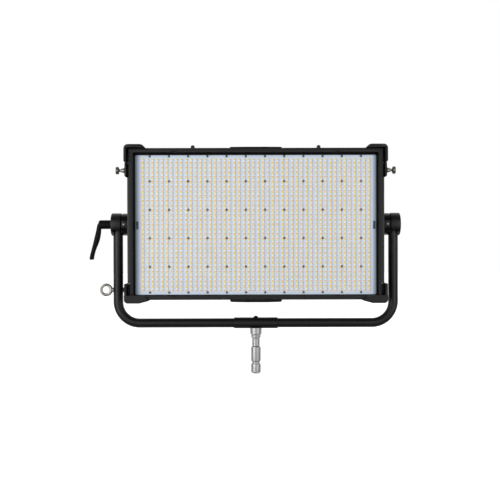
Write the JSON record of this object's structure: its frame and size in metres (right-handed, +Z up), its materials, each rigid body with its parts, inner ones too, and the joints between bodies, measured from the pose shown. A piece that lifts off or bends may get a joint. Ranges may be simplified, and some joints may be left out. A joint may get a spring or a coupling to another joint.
{
  "type": "led panel light",
  "caption": "Flat LED panel studio light in a U-shaped tilting yoke with a clamp lever, safety eye bolt, spring-pin accessory rails and a 28 mm spigot.",
  "frame": {"origin": "centre of the spigot's lower end face", "axes": "+Z up along the spigot, -Y the way the light faces, +X to the right as seen from in front"},
  "size_m": [0.8702, 0.191, 0.635],
  "materials": {
    "alloy_black": "satin",
    "hub_black": "gloss",
    "fin_black": "matte",
    "spigot_alloy": "satin",
    "steel_bright": "satin",
    "steel_black": "satin",
    "supply_tin": "satin",
    "plastic_black": "matte",
    "plastic_gloss": "gloss",
    "rubber_black": "matte",
    "board_white": "satin",
    "circuit_green": "satin"
  },
  "bodies": {
    "yoke": {"yoke_tube": "alloy_black", "left_yoke_drum": "alloy_black", "right_yoke_drum": "alloy_black", "yoke_collar": "alloy_black", "left_friction_disc": "rubber_black", "right_friction_disc": "rubber_black", "right_pivot_bolt": "steel_bright", "right_pivot_cap": "plastic_black", "spigot": "spigot_alloy", "spigot_bolt": "steel_black", "eye_bolt": "steel_bright", "eye_bolt_nut": "steel_bright"},
    "clamp_screw": {"clamp_stud": "steel_bright"},
    "clamp_handle": {"clamp_lever": "plastic_black"},
    "head": {"front_frame": "alloy_black", "led_board": "board_white", "left_board_connector": "plastic_black", "right_board_connector": "plastic_black", "left_top_bracket": "alloy_black", "right_top_bracket": "alloy_black", "left_bottom_bracket": "alloy_black", "right_bottom_bracket": "alloy_black", "left_latch_block": "plastic_black", "right_latch_block": "plastic_black", "left_plunger_bush": "steel_bright", "right_plunger_bush": "steel_bright", "top_pad": "rubber_black", "bottom_pad": "rubber_black", "left_top_stud": "hub_black", "right_top_stud": "hub_black", "left_hub_disc": "hub_black", "right_hub_disc": "hub_black", "housing": "alloy_black", "led_driver_board": "circuit_green", "heat_sink": "fin_black", "rear_cover": "alloy_black", "connector_plate": "alloy_black", "left_fan_frame": "plastic_black", "right_fan_frame": "plastic_black", "power_supply": "supply_tin", "control_board": "circuit_green", "display_window": "plastic_gloss", "power_switch_bezel": "plastic_black", "mains_inlet": "plastic_black", "data_in_socket": "plastic_black", "data_out_socket": "plastic_black", "network_socket": "plastic_black", "usb_socket": "plastic_black"},
    "left_plunger": {"left_pull_knob": "steel_bright"},
    "right_plunger": {"right_pull_knob": "steel_bright"},
    "select_control": {"select_knob": "plastic_black"},
    "dimmer_control": {"dimmer_knob": "plastic_black"},
    "button_1": {"menu_button_1": "rubber_black"},
    "button_2": {"menu_button_2": "rubber_black"},
    "button_3": {"menu_button_3": "rubber_black"},
    "button_4": {"menu_button_4": "rubber_black"},
    "power_switch": {"power_rocker": "plastic_gloss"},
    "left_fan": {"left_fan_rotor": "plastic_black"},
    "right_fan": {"right_fan_rotor": "plastic_black"}
  },
  "joints": [
    {"name": "head_tilt", "type": "hinge", "parent": "yoke", "child": "head", "pos_m": [0, 0, 0.418], "axis": [1, 0, 0], "range_deg": [-135, 135]},
    {"name": "clamp_turn", "type": "hinge", "parent": "yoke", "child": "clamp_screw", "pos_m": [-0.38, 0, 0.418], "axis": [1, 0, 0], "range_deg": [-20, 160]},
    {"name": "clamp_lift", "type": "slide", "parent": "clamp_screw", "child": "clamp_handle", "axis": [-1, 0, 0], "range_m": [0, 0.004], "stiffness_N_per_m": 1500, "springref_m": -0.002},
    {"name": "left_plunger_pull", "type": "slide", "parent": "head", "child": "left_plunger", "axis": [-1, 0, 0], "range_m": [0, 0.006], "stiffness_N_per_m": 800, "springref_m": -0.004},
    {"name": "right_plunger_pull", "type": "slide", "parent": "head", "child": "right_plunger", "axis": [1, 0, 0], "range_m": [0, 0.006], "stiffness_N_per_m": 800, "springref_m": -0.004},
    {"name": "select_turn", "type": "hinge", "parent": "head", "child": "select_control", "pos_m": [-0.066, 0.1, 0.463], "axis": [0, 1, 0], "continuous": true},
    {"name": "dimmer_turn", "type": "hinge", "parent": "head", "child": "dimmer_control", "pos_m": [0.066, 0.1, 0.463], "axis": [0, 1, 0], "continuous": true},
    {"name": "button_1_press", "type": "slide", "parent": "head", "child": "button_1", "axis": [0, -1, 0], "range_m": [0, 0.0015], "stiffness_N_per_m": 500, "springref_m": -0.001},
    {"name": "button_2_press", "type": "slide", "parent": "head", "child": "button_2", "axis": [0, -1, 0], "range_m": [0, 0.0015], "stiffness_N_per_m": 500, "springref_m": -0.001},
    {"name": "button_3_press", "type": "slide", "parent": "head", "child": "button_3", "axis": [0, -1, 0], "range_m": [0, 0.0015], "stiffness_N_per_m": 500, "springref_m": -0.001},
    {"name": "button_4_press", "type": "slide", "parent": "head", "child": "button_4", "axis": [0, -1, 0], "range_m": [0, 0.0015], "stiffness_N_per_m": 500, "springref_m": -0.001},
    {"name": "power_rocker_tip", "type": "hinge", "parent": "head", "child": "power_switch", "pos_m": [-0.054, 0.09, 0.348], "axis": [1, 0, 0], "range_deg": [-20, 0]},
    {"name": "left_fan_spin", "type": "hinge", "parent": "head", "child": "left_fan", "pos_m": [-0.165, 0.08, 0.418], "axis": [0, 1, 0], "continuous": true},
    {"name": "right_fan_spin", "type": "hinge", "parent": "head", "child": "right_fan", "pos_m": [0.165, 0.08, 0.418], "axis": [0, 1, 0], "continuous": true}
  ]
}
